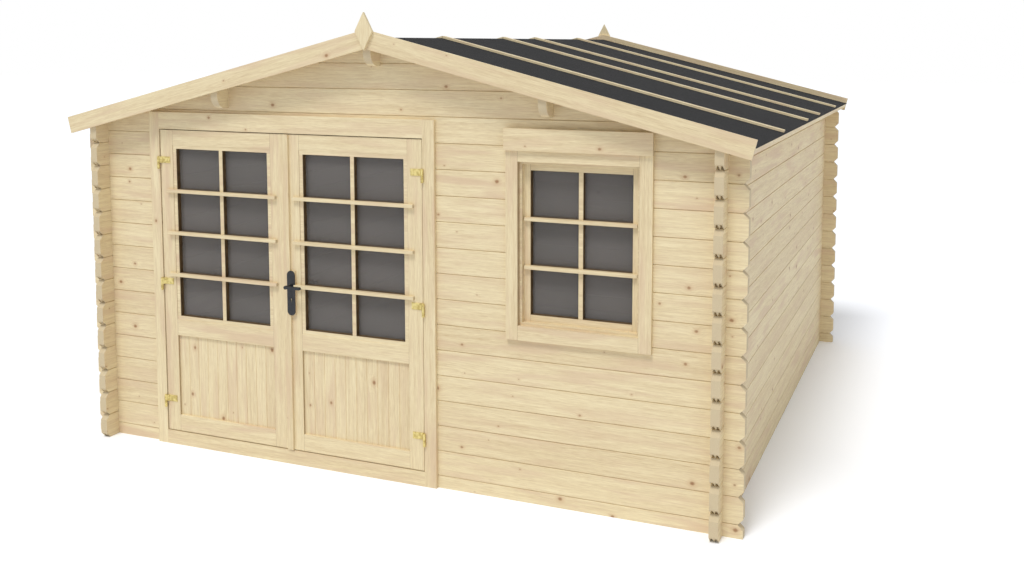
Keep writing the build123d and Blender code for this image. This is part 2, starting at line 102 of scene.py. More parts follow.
class Graph:
    """Adds and links nodes in one shader tree."""

    def __init__(self, tree: bpy.types.NodeTree) -> None:
        """Keeps the tree that nodes are added to."""
        self.tree = tree

    def node(self, kind: str, **settings: object) -> bpy.types.Node:
        """Adds a node and sets its properties.

        Args:
            kind: The node's type, without its ShaderNode prefix.
            **settings: Properties to set on it.

        Returns:
            The new node.
        """
        made = self.tree.nodes.new("ShaderNode" + kind)
        for name, value in settings.items():
            setattr(made, name, value)
        return made

    def feed(self, socket: Socket, value: object) -> None:
        """Links a socket into another one, or sets it to a constant.

        Args:
            socket: The input socket.
            value: What feeds it, a socket or a constant.
        """
        if isinstance(value, bpy.types.NodeSocket):
            self.tree.links.new(value, socket)
        else:
            socket.default_value = value

    def calc(self, operation: str, *values: object, clamp: bool = False) -> Socket:
        """Adds a Math node.

        Args:
            operation: What it works out.
            *values: Its inputs, sockets or constants.
            clamp: Whether the result is held between 0 and 1.

        Returns:
            Its result.
        """
        made = self.node("Math", operation=operation, use_clamp=clamp)
        for socket, value in zip(made.inputs, values):
            self.feed(socket, value)
        return made.outputs[0]

    def vector(self, operation: str, *values: object) -> Socket:
        """Adds a Vector Math node.

        Args:
            operation: What it works out.
            *values: Its inputs, sockets or constants.

        Returns:
            Its vector result.
        """
        made = self.node("VectorMath", operation=operation)
        for socket, value in zip(made.inputs, values):
            self.feed(socket, value)
        return made.outputs[0]

    def join_xyz(self, x: object, y: object, z: object) -> Socket:
        """Makes a vector out of three values.

        Args:
            x: The first value.
            y: The second value.
            z: The third value.

        Returns:
            The vector.
        """
        made = self.node("CombineXYZ")
        for socket, value in zip(made.inputs, (x, y, z)):
            self.feed(socket, value)
        return made.outputs[0]

    def split_xyz(self, vector: Socket) -> tuple[Socket, Socket, Socket]:
        """Takes a vector apart.

        Args:
            vector: The vector.

        Returns:
            Its three values.
        """
        made = self.node("SeparateXYZ")
        self.feed(made.inputs[0], vector)
        return tuple(made.outputs)

    def blend(self, factor: object, first: object, second: object) -> Socket:
        """Mixes two colours.

        Args:
            factor: The second colour's share.
            first: The first colour.
            second: The second colour.

        Returns:
            The mixed colour.
        """
        made = self.node("Mix", data_type="RGBA")
        self.feed(made.inputs[0], factor)
        self.feed(made.inputs[6], first)
        self.feed(made.inputs[7], second)
        return made.outputs[2]

    def ease(self, value: object, low: object, high: object) -> Socket:
        """Turns a value into a smooth step from 0 to 1.

        Args:
            value: The value.
            low: Where the step starts.
            high: Where it ends.

        Returns:
            The step's height at the value.
        """
        made = self.node("MapRange", interpolation_type="SMOOTHSTEP")
        for socket, given in zip(made.inputs, (value, low, high)):
            self.feed(socket, given)
        return made.outputs[0]

    def noise(self, vector: Socket, scale: float, detail: float = 2.0, rough: float = 0.5) -> Socket:
        """Adds a noise pattern in space.

        Args:
            vector: Where it is read.
            scale: Its scale.
            detail: Its finer octaves.
            rough: How strong those are.

        Returns:
            The noise, from 0 to 1.
        """
        made = self.node("TexNoise", noise_dimensions="3D")
        for name, value in (("Vector", vector), ("Scale", scale), ("Detail", detail), ("Roughness", rough)):
            self.feed(made.inputs[name], value)
        return made.outputs["Fac"]

    def noise_line(self, value: Socket, scale: float, detail: float = 1.0) -> Socket:
        """Adds a noise pattern that changes along one value only.

        Args:
            value: Where it is read.
            scale: Its scale.
            detail: Its finer octaves.

        Returns:
            The noise, from 0 to 1.
        """
        made = self.node("TexNoise", noise_dimensions="1D")
        for name, given in (("W", value), ("Scale", scale), ("Detail", detail)):
            self.feed(made.inputs[name], given)
        return made.outputs["Fac"]

    def random(self, vector: Socket) -> tuple[Socket, Socket]:
        """Adds a random draw.

        Args:
            vector: What the draw hangs on.

        Returns:
            A random value and a random colour.
        """
        made = self.node("TexWhiteNoise", noise_dimensions="3D")
        self.feed(made.inputs["Vector"], vector)
        return made.outputs["Value"], made.outputs["Color"]


def new_group(name: str, inputs: dict[str, tuple[str, object]],
              outputs: dict[str, str]) -> tuple[Graph, dict, dict]:
    """Starts a shader group with named sockets.

    Args:
        name: The group's name.
        inputs: Input name to socket kind and default.
        outputs: Output name to socket kind.

    Returns:
        The graph, the group's inputs by name, and its output sockets by name.
    """
    tree = bpy.data.node_groups.new(name, "ShaderNodeTree")
    for label, (kind, default) in inputs.items():
        socket = tree.interface.new_socket(label, in_out="INPUT", socket_type="NodeSocket" + kind)
        if default is not None:
            socket.default_value = default
    for label, kind in outputs.items():
        tree.interface.new_socket(label, in_out="OUTPUT", socket_type="NodeSocket" + kind)
    entry = tree.nodes.new("NodeGroupInput")
    leave = tree.nodes.new("NodeGroupOutput")
    ins = {label: entry.outputs[label] for label in inputs}
    outs = {label: leave.inputs[label] for label in outputs}
    return Graph(tree), ins, outs


@dataclass(frozen=True)
class SpruceColours:
    """The colours that one softwood board is mixed from."""

    light: tuple = srgb(241, 226, 187)
    dark: tuple = srgb(206, 182, 142)
    pink: tuple = srgb(216, 189, 158)
    knot: tuple = srgb(162, 124, 90)
    halo: tuple = srgb(204, 170, 132)
    end: tuple = srgb(208, 192, 160)
    end_ring: tuple = srgb(180, 158, 122)


@dataclass(frozen=True)
class SpruceFigure:
    """How fine and how strong the wood's figure is. Scales are per metre, lengths in metres."""

    broad_scale: Point = (1.7, 44.0, 44.0)
    fine_scale: Point = (8.0, 190.0, 190.0)
    fibre_scale: Point = (26.0, 520.0, 520.0)
    blush_scale: Point = (2.2, 17.0, 17.0)
    shake_scale: Point = (5.0, 30.0, 30.0)
    broad_weight: float = 0.95
    fine_weight: float = 1.0
    fibre_weight: float = 0.8
    board_weight: float = 0.22
    ring_weight: float = 0.12
    middle_tone: float = 0.36
    ring_width: float = 0.0032
    sway: float = 0.016
    drift: float = 0.03
    shake: float = 0.005
    heart_spread: float = 0.15
    heart_range: float = 0.075
    heart_least: float = 0.035
    knot_cell: float = 0.29
    knot_range: float = 0.0065
    knot_least: float = 0.0035
    knot_stretch: float = 1.25
    knot_ragged: float = 0.004
    knot_ragged_scale: float = 150.0


class SpruceGroup:
    """The shader group for planed spruce: fine streaks, rings, pinkish bands and soft knots.

    Its Grain vector runs along the fibres in x, across the board in y and through it in z.
    """

    def __init__(self, colours: SpruceColours, figure: SpruceFigure) -> None:
        """Builds the group once.

        Args:
            colours: The colours to mix.
            figure: How fine and strong the figure is.
        """
        self.figure = figure
        graph, ins, outs = new_group(
            "planed_spruce",
            {"Grain": ("Vector", None), "Cover": ("Float", 10.0), "Phase": ("Float", 0.5),
             "Seed": ("Float", 0.0), "Spread": ("Float", 0.1), "Knots": ("Float", 0.5),
             "End": ("Float", 0.0)},
            {"Color": "Color", "Roughness": "Float", "Height": "Float"},
        )
        self.tree = graph.tree
        along, across, through = graph.split_xyz(ins["Grain"])
        place = graph.calc("ADD", graph.calc("DIVIDE", across, ins["Cover"]), ins["Phase"])
        row = graph.calc("FLOOR", place)
        local = graph.calc("MULTIPLY", graph.calc("SUBTRACT", graph.calc("FRACT", place), 0.5), ins["Cover"])
        chance, tints = graph.random(graph.join_xyz(row, ins["Seed"], 3.7))
        tint_a, tint_b, tint_c = graph.split_xyz(tints)
        knot, halo, pull = self._knots(graph, ins, along, local, row, chance)
        radius = self._radius(graph, along, local, through, (chance, tint_a, tint_b, tint_c), pull)
        late = graph.ease(graph.calc("FRACT", graph.calc("DIVIDE", radius, figure.ring_width)), 0.45, 0.98)
        streaks = self._streaks(graph, along, local, through, (chance, tint_a, tint_b), pull)
        broad, fine, fibre, blush = streaks
        tone = graph.calc("MULTIPLY", graph.calc("SUBTRACT", broad, 0.5), figure.broad_weight)
        for part, weight in ((fine, figure.fine_weight), (fibre, figure.fibre_weight),
                             (chance, figure.board_weight)):
            tone = graph.calc("MULTIPLY_ADD", graph.calc("SUBTRACT", part, 0.5), weight, tone)
        tone = graph.calc("MULTIPLY_ADD", late, figure.ring_weight, tone)
        tone = graph.calc("ADD", tone, figure.middle_tone, clamp=True)
        colour = graph.blend(tone, colours.light, colours.dark)
        blushing = graph.calc("MULTIPLY_ADD", tint_c, 0.45, 0.25)
        band = graph.calc("MULTIPLY", graph.ease(blush, 0.46, 0.68), blushing)
        colour = graph.blend(band, colour, colours.pink)
        colour = graph.blend(halo, colour, colours.halo)
        colour = graph.blend(knot, colour, colours.knot)
        sawn = graph.blend(graph.calc("MULTIPLY", late, 0.55), colours.end, colours.end_ring)
        colour = graph.blend(graph.calc("MULTIPLY", ins["End"], 0.85), colour, sawn)
        graph.feed(outs["Color"], colour)
        rough = graph.calc("MULTIPLY_ADD", graph.calc("SUBTRACT", fibre, late), 0.12, 0.56)
        graph.feed(outs["Roughness"], graph.calc("MULTIPLY_ADD", ins["End"], 0.15, rough))
        height = graph.calc("MULTIPLY_ADD", fibre, 0.7, graph.calc("MULTIPLY", late, 0.4))
        graph.feed(outs["Height"], graph.calc("MULTIPLY_ADD", knot, -0.5, height))

    def _streaks(self, graph: Graph, along: Socket, local: Socket, through: Socket,
                 chances: tuple, pull: Socket) -> tuple[Socket, Socket, Socket, Socket]:
        """Draws long streaks of several widths that wander a little.

        Args:
            graph: The group's graph.
            along: Distance along the fibres.
            local: Distance across, from the board's middle.
            through: Distance through the board.
            chances: Random values of the board.
            pull: How far a knot bends the fibres.

        Returns:
            Broad streaks, fine streaks, fibres and broad coloured bands, each from 0 to 1.
        """
        chance, tint_a, tint_b = chances
        start = graph.calc("MULTIPLY_ADD", chance, 13.0, along)
        sway = graph.calc("MULTIPLY_ADD", graph.noise_line(start, 1.1), self.figure.sway, pull)
        side = graph.calc("ADD", graph.calc("MULTIPLY_ADD", tint_a, 3.0, local), sway)
        depth = graph.calc("MULTIPLY_ADD", tint_b, 3.0, through)
        place = graph.join_xyz(start, side, depth)
        broad = graph.noise(graph.vector("MULTIPLY", place, self.figure.broad_scale), 1.0, 3.0, 0.6)
        fine = graph.noise(graph.vector("MULTIPLY", place, self.figure.fine_scale), 1.0, 2.0, 0.6)
        fibre = graph.noise(graph.vector("MULTIPLY", place, self.figure.fibre_scale), 1.0, 1.0)
        blush = graph.noise(graph.vector("MULTIPLY", place, self.figure.blush_scale), 1.0, 2.0)
        return broad, fine, fibre, blush

    def _knots(self, graph: Graph, ins: dict, along: Socket, local: Socket, row: Socket,
               chance: Socket) -> tuple[Socket, Socket, Socket]:
        """Scatters at most one knot a stretch of board.

        Args:
            graph: The group's graph.
            ins: The group's inputs.
            along: Distance along the fibres.
            local: Distance across, from the board's middle.
            row: The board's number.
            chance: A random value of the board.

        Returns:
            The knot mask, the mask of the tinted wood round it, and how far it bends the fibres.
        """
        figure = self.figure
        cell = graph.calc("MULTIPLY_ADD", chance, 7.3, graph.calc("DIVIDE", along, figure.knot_cell))
        number = graph.calc("FLOOR", cell)
        size, places = graph.random(graph.join_xyz(number, row, graph.calc("ADD", ins["Seed"], 11.0)))
        place_u, place_v, present = graph.split_xyz(places)
        centre_u = graph.calc("MULTIPLY_ADD", place_u, 0.7, 0.15)
        away_u = graph.calc("SUBTRACT", graph.calc("FRACT", cell), centre_u)
        away_u = graph.calc("MULTIPLY", away_u, figure.knot_cell)
        away_v = graph.calc("MULTIPLY", graph.calc("SUBTRACT", place_v, 0.5), ins["Spread"])
        away_v = graph.calc("SUBTRACT", local, away_v)
        oval = graph.calc("DIVIDE", away_u, figure.knot_stretch)
        squared = graph.calc("MULTIPLY_ADD", oval, oval, graph.calc("MULTIPLY", away_v, away_v))
        ragged = graph.calc("SUBTRACT", graph.noise(ins["Grain"], figure.knot_ragged_scale), 0.5)
        away = graph.calc("MULTIPLY_ADD", ragged, figure.knot_ragged, graph.calc("SQRT", squared))
        squared = graph.calc("MULTIPLY", size, size)
        reach = graph.calc("MULTIPLY_ADD", squared, figure.knot_range, figure.knot_least)
        shown = graph.calc("LESS_THAN", present, ins["Knots"])
        strength = graph.calc("MULTIPLY", shown, graph.calc("MULTIPLY_ADD", place_u, 0.6, 0.4))
        core = graph.ease(away, graph.calc("MULTIPLY", reach, 1.35), graph.calc("MULTIPLY", reach, 0.35))
        halo = graph.ease(away, graph.calc("MULTIPLY", reach, 3.4), graph.calc("MULTIPLY", reach, 0.7))
        spread = graph.calc("DIVIDE", away, graph.calc("MULTIPLY", reach, 3.5))
        fade = graph.calc("EXPONENT", graph.calc("MULTIPLY", graph.calc("MULTIPLY", spread, spread), -1.0))
        pull = graph.calc("MULTIPLY", graph.calc("MULTIPLY", fade, shown), graph.calc("MULTIPLY", reach, 1.2))
        core = graph.calc("MULTIPLY", core, strength)
        halo = graph.calc("MULTIPLY", halo, graph.calc("MULTIPLY", strength, 0.5))
        return core, halo, pull

    def _radius(self, graph: Graph, along: Socket, local: Socket, through: Socket,
                chances: tuple, pull: Socket) -> Socket:
        """Returns the distance from the tree's heart, which the rings follow.

        Args:
            graph: The group's graph.
            along: Distance along the fibres.
            local: Distance across, from the board's middle.
            through: Distance through the board.
            chances: Random values of the board.
            pull: How far a knot bends the rings.

        Returns:
            The distance in metres.
        """
        chance, tint_a, tint_b, tint_c = chances
        figure = self.figure
        offset = graph.calc("MULTIPLY", chance, 40.0)
        sway = graph.noise_line(graph.calc("ADD", along, offset), 0.9)
        drift = graph.noise_line(graph.calc("MULTIPLY_ADD", tint_c, 60.0, along), 1.7)
        heart_v = graph.calc("MULTIPLY", graph.calc("SUBTRACT", tint_a, 0.5), figure.heart_spread)
        heart_w = graph.calc("MULTIPLY_ADD", tint_b, figure.heart_range, figure.heart_least)
        side_v = graph.calc("MULTIPLY_ADD", graph.calc("SUBTRACT", drift, 0.5), figure.drift,
                            graph.calc("SUBTRACT", local, heart_v))
        side_w = graph.calc("MULTIPLY_ADD", graph.calc("SUBTRACT", sway, 0.5), figure.drift,
                            graph.calc("SUBTRACT", through, heart_w))
        squared = graph.calc("MULTIPLY_ADD", side_v, side_v, graph.calc("MULTIPLY", side_w, side_w))
        radius = graph.calc("SQRT", squared)
        scale_u, scale_v, scale_w = figure.shake_scale
        shake_space = graph.join_xyz(
            graph.calc("MULTIPLY", along, scale_u), graph.calc("MULTIPLY", local, scale_v),
            graph.calc("MULTIPLY_ADD", through, scale_w, offset))
        shake = graph.calc("SUBTRACT", graph.noise(shake_space, 1.0), 0.5)
        return graph.calc("MULTIPLY_ADD", shake, figure.shake, graph.calc("ADD", radius, pull))


class MottleGroup:
    """The shader group for faint patches and grit, shared by felt, metal, the painted shade round the panes
    and glass.
    """

    def __init__(self) -> None:
        """Builds the group once."""
        graph, ins, outs = new_group(
            "surface_mottle",
            {"Place": ("Vector", None), "Patch Scale": ("Float", 5.0), "Grit Scale": ("Float", 400.0)},
            {"Patches": "Float", "Grit": "Float"},
        )
        self.tree = graph.tree
        patches = graph.noise(ins["Place"], ins["Patch Scale"], 4.0)
        grit = graph.noise(ins["Place"], ins["Grit Scale"], 1.0)
        graph.feed(outs["Patches"], graph.ease(patches, 0.35, 0.7))
        graph.feed(outs["Grit"], graph.ease(grit, 0.45, 0.72))

    def use(self, graph: Graph, patch_scale: float, grit_scale: float) -> tuple[Socket, Socket]:
        """Adds the group to a material.

        Args:
            graph: The material's graph.
            patch_scale: Scale of the patches.
            grit_scale: Scale of the grit.

        Returns:
            The patches and the grit, each from 0 to 1.
        """
        mottle = graph.node("Group", node_tree=self.tree)
        graph.feed(mottle.inputs["Place"], graph.node("TexCoord").outputs["Object"])
        mottle.inputs["Patch Scale"].default_value = patch_scale
        mottle.inputs["Grit Scale"].default_value = grit_scale
        return mottle.outputs["Patches"], mottle.outputs["Grit"]


@dataclass(frozen=True)
class Spruce:
    """Planed spruce as it lies on one kind of piece.

    The pattern's origin lies at centre, and its boards repeat every cover, shifted by phase of one.
    Seed picks the boards, knots says how often a knot comes and spread how far from a board's middle.
    Tilt turns the grain with a roof slope, and rails holds the x limits between which rails run level.
    """

    name: str
    grain: Grain
    centre: Point = (0.0, 0.0, 0.0)
    cover: float = 10.0
    phase: float = 0.5
    seed: float = 0.0
    spread: float = 0.07
    knots: float = 0.45
    tilt: float = 0.0
    rails: Span = (0.0, 0.0)
    relief: float = 0.22
    relief_depth: float = 0.5 * MM
    gloss: float = 0.25
    seam: float = 0.8 * MM
    seam_colour: tuple = srgb(150, 124, 88)

    def build(self, group: SpruceGroup) -> bpy.types.Material:
        """Makes the material.

        Args:
            group: The shared spruce group.

        Returns:
            The finished material.
        """
        material, graph, shader = new_material(self.name)
        wood = graph.node("Group", node_tree=group.tree)
        graph.feed(wood.inputs["Grain"], self._grain_space(graph))
        for name, value in (("Cover", self.cover), ("Phase", self.phase), ("Seed", self.seed),
                            ("Spread", self.spread), ("Knots", self.knots)):
            wood.inputs[name].default_value = value
        graph.feed(wood.inputs["End"], self._sawn_end(graph))
        colour = wood.outputs["Color"]
        if self.grain is Grain.JOINERY:
            colour = graph.blend(self._seams(graph), colour, self.seam_colour)
        graph.feed(shader.inputs["Base Color"], colour)
        graph.feed(shader.inputs["Roughness"], wood.outputs["Roughness"])
        shader.inputs["Specular IOR Level"].default_value = self.gloss
        add_bump(graph, shader, wood.outputs["Height"], self.relief, self.relief_depth)
        return material

    def _sawn_end(self, graph: Graph) -> object:
        """Finds the faces that cut across the fibres.

        Args:
            graph: The material's graph.

        Returns:
            A mask that is 1 on sawn ends, or 0 where stiles and rails share one piece.
        """
        if self.grain is Grain.JOINERY:
            return 0.0
        axis = {Grain.ALONG_X: 0, Grain.DECK: 0, Grain.ALONG_Y: 1, Grain.UPRIGHT: 2}[self.grain]
        facing = graph.split_xyz(graph.node("TexCoord").outputs["Normal"])[axis]
        return graph.ease(graph.calc("ABSOLUTE", facing), 0.4, 0.65)

    def _seams(self, graph: Graph) -> Socket:
        """Draws the hairline joints between rails and stiles.

        Args:
            graph: The material's graph.

        Returns:
            A mask along the joints.
        """
        x, _, _ = graph.split_xyz(graph.node("TexCoord").outputs["Object"])
        near = graph.calc("MINIMUM", *(
            graph.calc("ABSOLUTE", graph.calc("SUBTRACT", x, edge)) for edge in self.rails))
        return graph.calc("MULTIPLY", graph.calc("LESS_THAN", near, self.seam), 0.6)

    def _grain_space(self, graph: Graph) -> Socket:
        """Turns object coordinates into along, across and through.

        Args:
            graph: The material's graph.

        Returns:
            The vector that the spruce group reads.
        """
        coordinates = graph.node("TexCoord").outputs["Object"]
        place = graph.node("Mapping", vector_type="POINT")
        graph.feed(place.inputs["Vector"], coordinates)
        place.inputs["Location"].default_value = self._moved()
        place.inputs["Rotation"].default_value = (0.0, self.tilt, 0.0)
        x, y, z = graph.split_xyz(place.outputs[0])
        if self.grain is Grain.ALONG_X:
            return graph.join_xyz(x, z, y)
        if self.grain is Grain.ALONG_Y:
            return graph.join_xyz(y, z, x)
        if self.grain is Grain.UPRIGHT:
            return graph.join_xyz(z, x, y)
        if self.grain is Grain.DECK:
            return graph.join_xyz(x, y, z)
        low, high = (edge - self.centre[0] for edge in self.rails)
        stile = graph.calc("ADD", graph.calc("LESS_THAN", x, low), graph.calc("GREATER_THAN", x, high))
        upright = graph.join_xyz(graph.calc("ADD", z, 5.0), x, y)
        level = graph.join_xyz(x, z, y)
        choose = graph.node("Mix", data_type="VECTOR")
        graph.feed(choose.inputs[0], stile)
        graph.feed(choose.inputs[4], level)
        graph.feed(choose.inputs[5], upright)
        return choose.outputs[1]

    def _moved(self) -> Point:
        """Works out the shift that puts the piece's middle at the pattern's origin, after the tilt.

        Returns:
            The shift along each axis.
        """
        x, y, z = self.centre
        turned_x = x * math.cos(self.tilt) + z * math.sin(self.tilt)
        turned_z = -x * math.sin(self.tilt) + z * math.cos(self.tilt)
        return -turned_x, -y, -turned_z


def new_material(name: str) -> tuple[bpy.types.Material, Graph, bpy.types.Node]:
    """Starts a material with one Principled shader.

    Args:
        name: The material's name.

    Returns:
        The material, its graph and its shader.
    """
    material = bpy.data.materials.new(name)
    material.use_nodes = True
    shader = next(n for n in material.node_tree.nodes if n.type == "BSDF_PRINCIPLED")
    return material, Graph(material.node_tree), shader


@dataclass(frozen=True)
class Felt:
    """Bitumen felt with mineral grit."""

    name: str = "roofing_felt"
    colour: tuple = srgb(34, 34, 35)
    patch_tone: tuple = srgb(31, 31, 32)
    grit: tuple = srgb(45, 45, 46)
    patch_scale: float = 2.4
    grit_scale: float = 560.0

    def build(self, mottle: MottleGroup) -> bpy.types.Material:
        """Makes the material.

        Args:
            mottle: The shared mottle group.

        Returns:
            The finished material.
        """
        material, graph, shader = new_material(self.name)
        patches, grit = mottle.use(graph, self.patch_scale, self.grit_scale)
        colour = graph.blend(patches, self.colour, self.patch_tone)
        colour = graph.blend(graph.calc("MULTIPLY", grit, 0.5), colour, self.grit)
        graph.feed(shader.inputs["Base Color"], colour)
        graph.feed(shader.inputs["Roughness"], graph.calc("MULTIPLY_ADD", grit, 0.1, 0.84))
        shader.inputs["Specular IOR Level"].default_value = 0.15
        add_bump(graph, shader, grit, 0.5, 1 * MM)
        return material


@dataclass(frozen=True)
class Metal:
    """A plated or painted metal with faint marks of handling."""

    name: str
    colour: tuple
    marked: tuple
    metallic: float
    roughness: float
    patch_scale: float = 60.0
    grit_scale: float = 420.0

    def build(self, mottle: MottleGroup) -> bpy.types.Material:
        """Makes the material.

        Args:
            mottle: The shared mottle group.

        Returns:
            The finished material.
        """
        material, graph, shader = new_material(self.name)
        patches, grit = mottle.use(graph, self.patch_scale, self.grit_scale)
        graph.feed(shader.inputs["Base Color"], graph.blend(patches, self.colour, self.marked))
        graph.feed(shader.inputs["Roughness"], graph.calc("MULTIPLY_ADD", patches, 0.12, self.roughness))
        shader.inputs["Metallic"].default_value = self.metallic
        add_bump(graph, shader, grit, 0.1, 0.4 * MM)
        return material


@dataclass(frozen=True)
class Seal:
    """Painted shade: a brown lining round each pane and behind its bars, standing in for the shade in the
    pane's reveals.
    """

    name: str = "painted_reveal_shade"
    # Painted shade: these browns stand in for the shade in the pane's reveals, varied in random patches.
    colour: tuple = srgb(104, 82, 54)
    patch_tone: tuple = srgb(84, 66, 44)
    patch_scale: float = 30.0
    grit_scale: float = 300.0

    def build(self, mottle: MottleGroup) -> bpy.types.Material:
        """Makes the material.

        Args:
            mottle: The shared mottle group.

        Returns:
            The finished material.
        """
        material, graph, shader = new_material(self.name)
        patches, _ = mottle.use(graph, self.patch_scale, self.grit_scale)
        graph.feed(shader.inputs["Base Color"], graph.blend(patches, self.colour, self.patch_tone))
        graph.feed(shader.inputs["Roughness"], graph.calc("MULTIPLY_ADD", patches, 0.15, 0.6))
        shader.inputs["Specular IOR Level"].default_value = 0.15
        return material


@dataclass(frozen=True)
class Glass:
    """Pane glass, half clear, through which the dim room shows faintly; its grey colour is painted shade that
    stands in for the rest of that dim room.
    """

    name: str = "pane_glass"
    # Painted shade: this grey stands in for the dim room seen through the pane.
    colour: tuple = srgb(131, 126, 122)
    hazy: tuple = srgb(125, 121, 117)
    alpha: float = 0.5
    patch_scale: float = 2.5
    grit_scale: float = 200.0

    def build(self, mottle: MottleGroup) -> bpy.types.Material:
        """Makes the material.

        Args:
            mottle: The shared mottle group.

        Returns:
            The finished material.
        """
        material, graph, shader = new_material(self.name)
        patches, _ = mottle.use(graph, self.patch_scale, self.grit_scale)
        graph.feed(shader.inputs["Base Color"], graph.blend(patches, self.colour, self.hazy))
        graph.feed(shader.inputs["Roughness"], graph.calc("MULTIPLY_ADD", patches, 0.04, 0.05))
        shader.inputs["Alpha"].default_value = self.alpha
        shader.inputs["Specular IOR Level"].default_value = 0.3
        return material


def add_bump(graph: Graph, shader: bpy.types.Node, height: Socket, strength: float, distance: float) -> None:
    """Puts a fine relief on a shader.

    Args:
        graph: The material's graph.
        shader: The Principled shader.
        height: The relief's height.
        strength: How strongly it shows.
        distance: How deep it is.
    """
    bump = graph.node("Bump")
    bump.inputs["Strength"].default_value = strength
    bump.inputs["Distance"].default_value = distance
    graph.feed(bump.inputs["Height"], height)
    graph.feed(shader.inputs["Normal"], bump.outputs["Normal"])


def deselect() -> None:
    """Deselects every object."""
    bpy.ops.object.select_all(action="DESELECT")


def block(name: str, low: Sequence[float], high: Sequence[float]) -> bpy.types.Object:
    """Adds a block between two corners, with its place in its mesh.

    Args:
        name: The piece's name.
        low: Its lowest corner.
        high: Its highest corner.

    Returns:
        The new piece.
    """
    deselect()
    low, high = Vector(low), Vector(high)
    bpy.ops.mesh.primitive_cube_add(size=1.0, location=(low + high) / 2)
    piece = bpy.context.object
    piece.scale = high - low
    bpy.ops.object.transform_apply(location=True, rotation=True, scale=True)
    piece.name = name
    return piece


def soften(piece: bpy.types.Object, width: float, segments: int = 2) -> bpy.types.Object:
    """Rounds the sharp edges of a piece.

    Args:
        piece: The piece.
        width: The rounding's width.
        segments: The steps of the rounding.

    Returns:
        The same piece.
    """
    bevel = piece.modifiers.new("rounded_edges", "BEVEL")
    bevel.width = width
    bevel.segments = segments
    bevel.limit_method = "ANGLE"
    apply_modifiers(piece)
    return piece


def ease_edges(nodes: Sequence[str], width: float) -> None:
    """Rounds the sharp edges of carried-over nodes with a live bevel.

    Args:
        nodes: The nodes' names.
        width: The rounding's width.
    """
    for node in nodes:
        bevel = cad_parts[node].modifiers.new("eased_edges", "BEVEL")
        bevel.width = width
        bevel.segments = 2
        bevel.limit_method = "ANGLE"
        bevel.angle_limit = EASED_ANGLE


def repeat(piece: bpy.types.Object, count: int, step: Point) -> bpy.types.Object:
    """Sets copies of a piece side by side in one mesh.

    Args:
        piece: The first of them.
        count: How many there are.
        step: The way from one to the next.

    Returns:
        The same piece.
    """
    array = piece.modifiers.new("side_by_side", "ARRAY")
    array.count = count
    array.use_relative_offset = False
    array.use_constant_offset = True
    array.constant_offset_displace = step
    apply_modifiers(piece)
    return piece


def cut_away(piece: bpy.types.Object, at: Point, normal: Point) -> None:
    """Cuts a piece at a plane, closes the cut and drops what the normal points to.

    Args:
        piece: The piece.
        at: A point of the plane.
        normal: The plane's normal.
    """
    deselect()
    piece.select_set(True)
    bpy.context.view_layer.objects.active = piece
    bpy.ops.object.mode_set(mode="EDIT")
    bpy.ops.mesh.select_all(action="SELECT")
    bpy.ops.mesh.bisect(plane_co=at, plane_no=normal, use_fill=True, clear_outer=True)
    bpy.ops.object.mode_set(mode="OBJECT")


def apply_modifiers(piece: bpy.types.Object) -> None:
    """Applies all of a piece's modifiers.

    Args:
        piece: The piece.
    """
    deselect()
    piece.select_set(True)
    bpy.context.view_layer.objects.active = piece
    for modifier in list(piece.modifiers):
        bpy.ops.object.modifier_apply(modifier=modifier.name)


def join(name: str, pieces: Sequence[bpy.types.Object]) -> bpy.types.Object:
    """Joins several meshes into one piece.

    Args:
        name: The joined piece's name.
        pieces: The meshes to join.

    Returns:
        The joined piece.
    """
    deselect()
    for piece in pieces:
        piece.select_set(True)
    bpy.context.view_layer.objects.active = pieces[0]
    if len(pieces) > 1:
        bpy.ops.object.join()
    joined = bpy.context.object
    joined.name = name
    joined.data.name = name
    return joined


def dress(node: str, material: bpy.types.Material) -> None:
    """Gives a carried-over node its finish."""
    finish(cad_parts[node], material)
    LOG.info("dressed %s with %s", node, material.name)


def finish(piece: bpy.types.Object, material: bpy.types.Material) -> None:
    """Puts one material on a piece in place of what it has."""
    piece.data.materials.clear()
    piece.data.materials.append(material)


def place(piece: bpy.types.Object, body: str, slot: str, material: bpy.types.Material,
          replaces: Sequence[str] = ()) -> None:
    """Hands a finished piece to the frame.

    Args:
        piece: The finished piece.
        body: The body that it rides on.
        slot: The record's material slot; not used.
        material: Its finish.
        replaces: Nodes that it stands for.
    """
    finish(piece, material)
    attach(piece, body)
    if replaces:
        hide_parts(*replaces)
    LOG.info("built %s on %s, %d faces", piece.name, body, len(piece.data.polygons))


@dataclass
class Palette:
    """Every finish, built once."""

    group: SpruceGroup = field(default_factory=lambda: SpruceGroup(SpruceColours(), SpruceFigure()))

    def __post_init__(self) -> None:
        """Builds the finishes that several pieces share."""
        mottle = MottleGroup()
        self.felt = Felt().build(mottle)
        self.brass = Metal("brass_plate", srgb(230, 212, 142), srgb(190, 168, 100), 0.75, 0.3).build(mottle)
        self.black = Metal("black_handle", srgb(40, 41, 44), srgb(33, 34, 37), 0.1, 0.38).build(mottle)
        # The brown of the pane linings is painted shade for the reveals behind the glass.
        self.seal = Seal().build(mottle)
        self.glass = Glass().build(mottle)

    def spruce(self, kind: Spruce) -> bpy.types.Material:
        """Returns a new spruce material."""
        return kind.build(self.group)


def middle_of(node: str) -> Point:
    """Returns the middle of a node's box."""
    low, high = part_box(node)
    return tuple((low + high) / 2)


